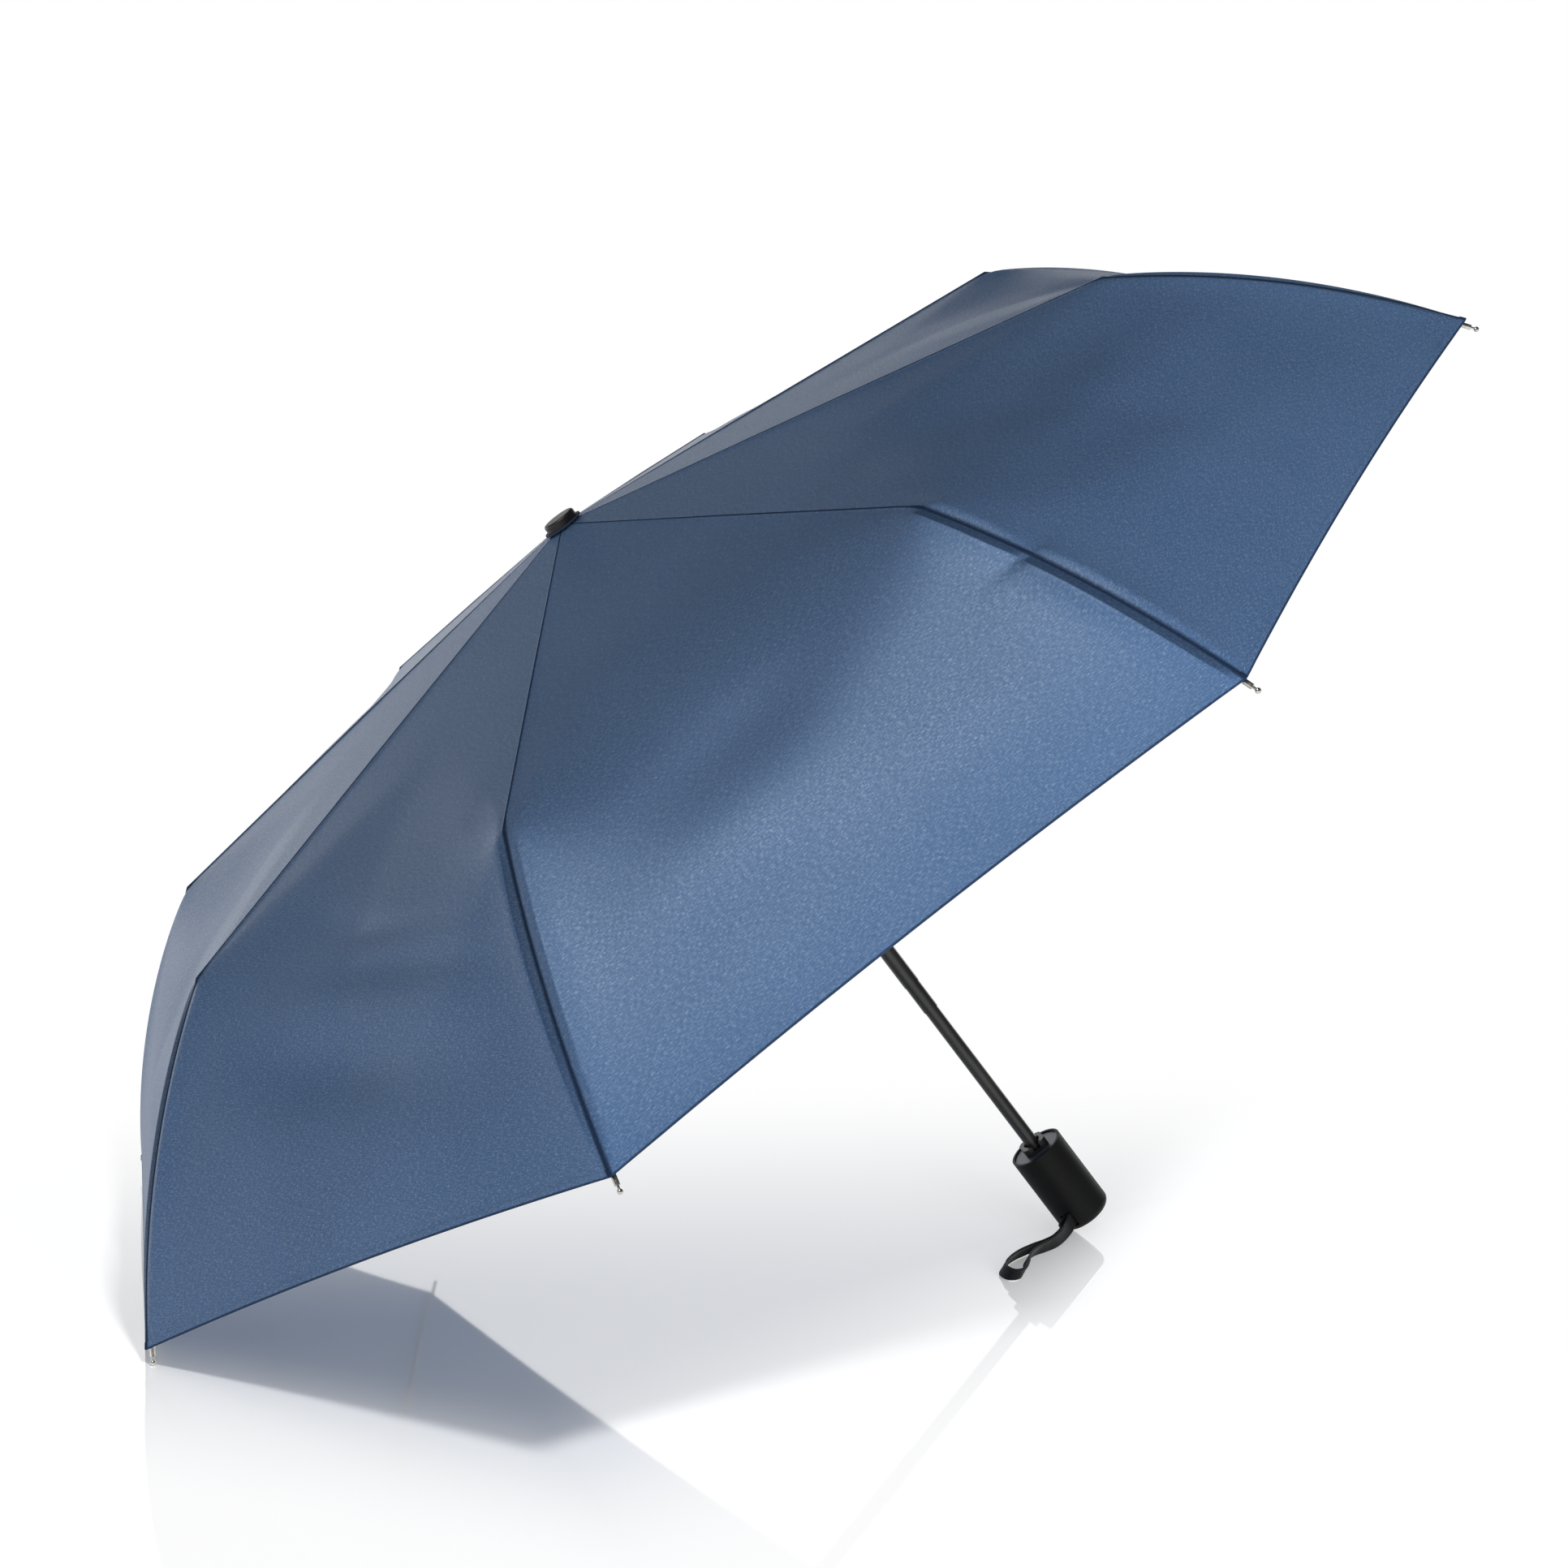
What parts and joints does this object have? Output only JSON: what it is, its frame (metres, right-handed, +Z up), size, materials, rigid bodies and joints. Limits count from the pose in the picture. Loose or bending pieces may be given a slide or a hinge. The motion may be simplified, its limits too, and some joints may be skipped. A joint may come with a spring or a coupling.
{
  "type": "folding umbrella",
  "caption": "Open folding umbrella with a sewn cloth canopy, hinged three-fold ribs, sliding runner, telescopic shaft and a short round handle with a wrist strap.",
  "frame": {"origin": "on the floor, below the middle of the box round the umbrella without its wrist strap", "axes": "+Z up from the floor; the shaft lies in the XZ plane and leans from the handle at +X towards the crown at -X; +Y across, along the longest side"},
  "size_m": [0.7113, 0.8992, 0.5778],
  "materials": {
    "grip": "matte black, finely textured",
    "plug": "satin grey",
    "collar": "satin black",
    "strap": "black ribbed ribbon",
    "tube": "black, satin",
    "crown": "black moulding",
    "wire": "drawn wire",
    "washer": "navy cloth washer",
    "cap": "black, satin gloss",
    "cloth": "navy woven cloth with a slight sheen",
    "runner": "black moulding",
    "button": "dark grey moulding",
    "rib": "plated steel",
    "spring_wire": "spring steel",
    "tip": "bright nickel"
  },
  "bodies": {
    "handle": {"handle_grip": "grip", "handle_plug": "plug", "dock_collar": "collar", "lower_tube": "tube", "wrist_strap": "strap"},
    "middle_tube": {"middle_tube": "tube"},
    "upper_tube": {"upper_tube": "tube", "crown_hub": "crown", "crown_wire": "wire", "crown_washer": "washer", "crown_cap": "cap", "canopy": "cloth"},
    "runner": {"runner": "runner", "runner_wire": "wire"},
    "runner_button": {"runner_button": "button"},
    "top_rib_1": {"top_rib_1": "rib"},
    "stretcher_1": {"stretcher_1": "rib"},
    "middle_rib_1": {"middle_rib_1": "rib"},
    "outer_rib_1": {"outer_rib_1": "spring_wire", "tip_1": "tip"},
    "top_rib_2": {"top_rib_2": "rib"},
    "stretcher_2": {"stretcher_2": "rib"},
    "middle_rib_2": {"middle_rib_2": "rib"},
    "outer_rib_2": {"outer_rib_2": "spring_wire", "tip_2": "tip"},
    "top_rib_3": {"top_rib_3": "rib"},
    "stretcher_3": {"stretcher_3": "rib"},
    "middle_rib_3": {"middle_rib_3": "rib"},
    "outer_rib_3": {"outer_rib_3": "spring_wire", "tip_3": "tip"},
    "top_rib_4": {"top_rib_4": "rib"},
    "stretcher_4": {"stretcher_4": "rib"},
    "middle_rib_4": {"middle_rib_4": "rib"},
    "outer_rib_4": {"outer_rib_4": "spring_wire", "tip_4": "tip"},
    "top_rib_5": {"top_rib_5": "rib"},
    "stretcher_5": {"stretcher_5": "rib"},
    "middle_rib_5": {"middle_rib_5": "rib"},
    "outer_rib_5": {"outer_rib_5": "spring_wire", "tip_5": "tip"},
    "top_rib_6": {"top_rib_6": "rib"},
    "stretcher_6": {"stretcher_6": "rib"},
    "middle_rib_6": {"middle_rib_6": "rib"},
    "outer_rib_6": {"outer_rib_6": "spring_wire", "tip_6": "tip"},
    "top_rib_7": {"top_rib_7": "rib"},
    "stretcher_7": {"stretcher_7": "rib"},
    "middle_rib_7": {"middle_rib_7": "rib"},
    "outer_rib_7": {"outer_rib_7": "spring_wire", "tip_7": "tip"},
    "top_rib_8": {"top_rib_8": "rib"},
    "stretcher_8": {"stretcher_8": "rib"},
    "middle_rib_8": {"middle_rib_8": "rib"},
    "outer_rib_8": {"outer_rib_8": "spring_wire", "tip_8": "tip"}
  },
  "joints": [
    {"name": "middle_slide", "type": "slide", "parent": "handle", "child": "middle_tube", "axis": [0.6154, 0, -0.7882], "range_m": [0, 0.102]},
    {"name": "upper_slide", "type": "slide", "parent": "middle_tube", "child": "upper_tube", "axis": [0.6154, 0, -0.7882], "range_m": [0, 0.166]},
    {"name": "runner_slide", "type": "slide", "parent": "upper_tube", "child": "runner", "axis": [0.6154, 0, -0.7882], "range_m": [0, 0.07917], "deforming": ["canopy"]},
    {"name": "button_press", "type": "slide", "parent": "runner", "child": "runner_button", "axis": [-0.7882, 0, -0.6154], "range_m": [0, 0.0012], "stiffness_N_per_m": 800},
    {"name": "top_rib_1_hinge", "type": "hinge", "parent": "upper_tube", "child": "top_rib_1", "pos_m": [-0.1081, 0.00383, 0.43071], "axis": [0.3016, -0.9239, 0.2355], "range_deg": [-77.62, 0]},
    {"name": "stretcher_1_hinge", "type": "hinge", "parent": "runner", "child": "stretcher_1", "pos_m": [-0.05845, 0.00383, 0.36712], "axis": [0.3016, -0.9239, 0.2355], "range_deg": [0, 40.41]},
    {"name": "middle_rib_1_hinge", "type": "hinge", "parent": "top_rib_1", "child": "middle_rib_1", "pos_m": [0.027, 0.06613, 0.50208], "axis": [0.3016, -0.9239, 0.2355], "range_deg": [0, 174]},
    {"name": "outer_rib_1_hinge", "type": "hinge", "parent": "middle_rib_1", "child": "outer_rib_1", "pos_m": [0.16077, 0.12782, 0.57274], "axis": [0.3016, -0.9239, 0.2355], "range_deg": [-143.79, 0]},
    {"name": "top_rib_2_hinge", "type": "hinge", "parent": "upper_tube", "child": "top_rib_2", "pos_m": [-0.11236, 0.00924, 0.42738], "axis": [0.7282, -0.3827, 0.5685], "range_deg": [-77.62, 0]},
    {"name": "stretcher_2_hinge", "type": "hinge", "parent": "runner", "child": "stretcher_2", "pos_m": [-0.06272, 0.00924, 0.36379], "axis": [0.7282, -0.3827, 0.5685], "range_deg": [0, 40.41]},
    {"name": "middle_rib_2_hinge", "type": "hinge", "parent": "top_rib_2", "child": "middle_rib_2", "pos_m": [-0.04672, 0.15964, 0.44453], "axis": [0.7282, -0.3827, 0.5685], "range_deg": [0, 174]},
    {"name": "outer_rib_2_hinge", "type": "hinge", "parent": "middle_rib_2", "child": "outer_rib_2", "pos_m": [0.01829, 0.30858, 0.46151], "axis": [0.7282, -0.3827, 0.5685], "range_deg": [-143.79, 0]},
    {"name": "top_rib_3_hinge", "type": "hinge", "parent": "upper_tube", "child": "top_rib_3", "pos_m": [-0.1184, 0.00924, 0.42267], "axis": [0.7282, 0.3827, 0.5685], "range_deg": [-77.62, 0]},
    {"name": "stretcher_3_hinge", "type": "hinge", "parent": "runner", "child": "stretcher_3", "pos_m": [-0.06875, 0.00924, 0.35908], "axis": [0.7282, 0.3827, 0.5685], "range_deg": [0, 40.41]},
    {"name": "middle_rib_3_hinge", "type": "hinge", "parent": "top_rib_3", "child": "middle_rib_3", "pos_m": [-0.15096, 0.15964, 0.36315], "axis": [0.7282, 0.3827, 0.5685], "range_deg": [0, 174]},
    {"name": "outer_rib_3_hinge", "type": "hinge", "parent": "middle_rib_3", "child": "outer_rib_3", "pos_m": [-0.18321, 0.30858, 0.30421], "axis": [0.7282, 0.3827, 0.5685], "range_deg": [-143.79, 0]},
    {"name": "top_rib_4_hinge", "type": "hinge", "parent": "upper_tube", "child": "top_rib_4", "pos_m": [-0.12266, 0.00383, 0.41934], "axis": [0.3016, 0.9239, 0.2355], "range_deg": [-77.62, 0]},
    {"name": "stretcher_4_hinge", "type": "hinge", "parent": "runner", "child": "stretcher_4", "pos_m": [-0.07302, 0.00383, 0.35575], "axis": [0.3016, 0.9239, 0.2355], "range_deg": [0, 40.41]},
    {"name": "middle_rib_4_hinge", "type": "hinge", "parent": "top_rib_4", "child": "middle_rib_4", "pos_m": [-0.22468, 0.06613, 0.3056], "axis": [0.3016, 0.9239, 0.2355], "range_deg": [0, 174]},
    {"name": "outer_rib_4_hinge", "type": "hinge", "parent": "middle_rib_4", "child": "outer_rib_4", "pos_m": [-0.32569, 0.12782, 0.19297], "axis": [0.3016, 0.9239, 0.2355], "range_deg": [-143.79, 0]},
    {"name": "top_rib_5_hinge", "type": "hinge", "parent": "upper_tube", "child": "top_rib_5", "pos_m": [-0.12266, -0.00383, 0.41934], "axis": [-0.3016, 0.9239, -0.2355], "range_deg": [-77.62, 0]},
    {"name": "stretcher_5_hinge", "type": "hinge", "parent": "runner", "child": "stretcher_5", "pos_m": [-0.07302, -0.00383, 0.35575], "axis": [-0.3016, 0.9239, -0.2355], "range_deg": [0, 40.41]},
    {"name": "middle_rib_5_hinge", "type": "hinge", "parent": "top_rib_5", "child": "middle_rib_5", "pos_m": [-0.22468, -0.06613, 0.3056], "axis": [-0.3016, 0.9239, -0.2355], "range_deg": [0, 174]},
    {"name": "outer_rib_5_hinge", "type": "hinge", "parent": "middle_rib_5", "child": "outer_rib_5", "pos_m": [-0.32569, -0.12782, 0.19297], "axis": [-0.3016, 0.9239, -0.2355], "range_deg": [-143.79, 0]},
    {"name": "top_rib_6_hinge", "type": "hinge", "parent": "upper_tube", "child": "top_rib_6", "pos_m": [-0.1184, -0.00924, 0.42267], "axis": [-0.7282, 0.3827, -0.5685], "range_deg": [-77.62, 0]},
    {"name": "stretcher_6_hinge", "type": "hinge", "parent": "runner", "child": "stretcher_6", "pos_m": [-0.06875, -0.00924, 0.35908], "axis": [-0.7282, 0.3827, -0.5685], "range_deg": [0, 40.41]},
    {"name": "middle_rib_6_hinge", "type": "hinge", "parent": "top_rib_6", "child": "middle_rib_6", "pos_m": [-0.15096, -0.15964, 0.36315], "axis": [-0.7282, 0.3827, -0.5685], "range_deg": [0, 174]},
    {"name": "outer_rib_6_hinge", "type": "hinge", "parent": "middle_rib_6", "child": "outer_rib_6", "pos_m": [-0.18321, -0.30858, 0.30421], "axis": [-0.7282, 0.3827, -0.5685], "range_deg": [-143.79, 0]},
    {"name": "top_rib_7_hinge", "type": "hinge", "parent": "upper_tube", "child": "top_rib_7", "pos_m": [-0.11236, -0.00924, 0.42738], "axis": [-0.7282, -0.3827, -0.5685], "range_deg": [-77.62, 0]},
    {"name": "stretcher_7_hinge", "type": "hinge", "parent": "runner", "child": "stretcher_7", "pos_m": [-0.06272, -0.00924, 0.36379], "axis": [-0.7282, -0.3827, -0.5685], "range_deg": [0, 40.41]},
    {"name": "middle_rib_7_hinge", "type": "hinge", "parent": "top_rib_7", "child": "middle_rib_7", "pos_m": [-0.04672, -0.15964, 0.44453], "axis": [-0.7282, -0.3827, -0.5685], "range_deg": [0, 174]},
    {"name": "outer_rib_7_hinge", "type": "hinge", "parent": "middle_rib_7", "child": "outer_rib_7", "pos_m": [0.01829, -0.30858, 0.46151], "axis": [-0.7282, -0.3827, -0.5685], "range_deg": [-143.79, 0]},
    {"name": "top_rib_8_hinge", "type": "hinge", "parent": "upper_tube", "child": "top_rib_8", "pos_m": [-0.1081, -0.00383, 0.43071], "axis": [-0.3016, -0.9239, -0.2355], "range_deg": [-77.62, 0]},
    {"name": "stretcher_8_hinge", "type": "hinge", "parent": "runner", "child": "stretcher_8", "pos_m": [-0.05845, -0.00383, 0.36712], "axis": [-0.3016, -0.9239, -0.2355], "range_deg": [0, 40.41]},
    {"name": "middle_rib_8_hinge", "type": "hinge", "parent": "top_rib_8", "child": "middle_rib_8", "pos_m": [0.027, -0.06613, 0.50208], "axis": [-0.3016, -0.9239, -0.2355], "range_deg": [0, 174]},
    {"name": "outer_rib_8_hinge", "type": "hinge", "parent": "middle_rib_8", "child": "outer_rib_8", "pos_m": [0.16077, -0.12782, 0.57274], "axis": [-0.3016, -0.9239, -0.2355], "range_deg": [-143.79, 0]}
  ],
  "couplings": [
    {"joint": "top_rib_1_hinge", "follows": "runner_slide", "rad_per_m": -17.112},
    {"joint": "stretcher_1_hinge", "follows": "runner_slide", "rad_per_m": 8.9075},
    {"joint": "middle_rib_1_hinge", "follows": "runner_slide", "rad_per_m": 38.357},
    {"joint": "outer_rib_1_hinge", "follows": "runner_slide", "rad_per_m": -31.697},
    {"joint": "top_rib_2_hinge", "follows": "runner_slide", "rad_per_m": -17.112},
    {"joint": "stretcher_2_hinge", "follows": "runner_slide", "rad_per_m": 8.9075},
    {"joint": "middle_rib_2_hinge", "follows": "runner_slide", "rad_per_m": 38.357},
    {"joint": "outer_rib_2_hinge", "follows": "runner_slide", "rad_per_m": -31.697},
    {"joint": "top_rib_3_hinge", "follows": "runner_slide", "rad_per_m": -17.112},
    {"joint": "stretcher_3_hinge", "follows": "runner_slide", "rad_per_m": 8.9075},
    {"joint": "middle_rib_3_hinge", "follows": "runner_slide", "rad_per_m": 38.357},
    {"joint": "outer_rib_3_hinge", "follows": "runner_slide", "rad_per_m": -31.697},
    {"joint": "top_rib_4_hinge", "follows": "runner_slide", "rad_per_m": -17.112},
    {"joint": "stretcher_4_hinge", "follows": "runner_slide", "rad_per_m": 8.9075},
    {"joint": "middle_rib_4_hinge", "follows": "runner_slide", "rad_per_m": 38.357},
    {"joint": "outer_rib_4_hinge", "follows": "runner_slide", "rad_per_m": -31.697},
    {"joint": "top_rib_5_hinge", "follows": "runner_slide", "rad_per_m": -17.112},
    {"joint": "stretcher_5_hinge", "follows": "runner_slide", "rad_per_m": 8.9075},
    {"joint": "middle_rib_5_hinge", "follows": "runner_slide", "rad_per_m": 38.357},
    {"joint": "outer_rib_5_hinge", "follows": "runner_slide", "rad_per_m": -31.697},
    {"joint": "top_rib_6_hinge", "follows": "runner_slide", "rad_per_m": -17.112},
    {"joint": "stretcher_6_hinge", "follows": "runner_slide", "rad_per_m": 8.9075},
    {"joint": "middle_rib_6_hinge", "follows": "runner_slide", "rad_per_m": 38.357},
    {"joint": "outer_rib_6_hinge", "follows": "runner_slide", "rad_per_m": -31.697},
    {"joint": "top_rib_7_hinge", "follows": "runner_slide", "rad_per_m": -17.112},
    {"joint": "stretcher_7_hinge", "follows": "runner_slide", "rad_per_m": 8.9075},
    {"joint": "middle_rib_7_hinge", "follows": "runner_slide", "rad_per_m": 38.357},
    {"joint": "outer_rib_7_hinge", "follows": "runner_slide", "rad_per_m": -31.697},
    {"joint": "top_rib_8_hinge", "follows": "runner_slide", "rad_per_m": -17.112},
    {"joint": "stretcher_8_hinge", "follows": "runner_slide", "rad_per_m": 8.9075},
    {"joint": "middle_rib_8_hinge", "follows": "runner_slide", "rad_per_m": 38.357},
    {"joint": "outer_rib_8_hinge", "follows": "runner_slide", "rad_per_m": -31.697}
  ]
}
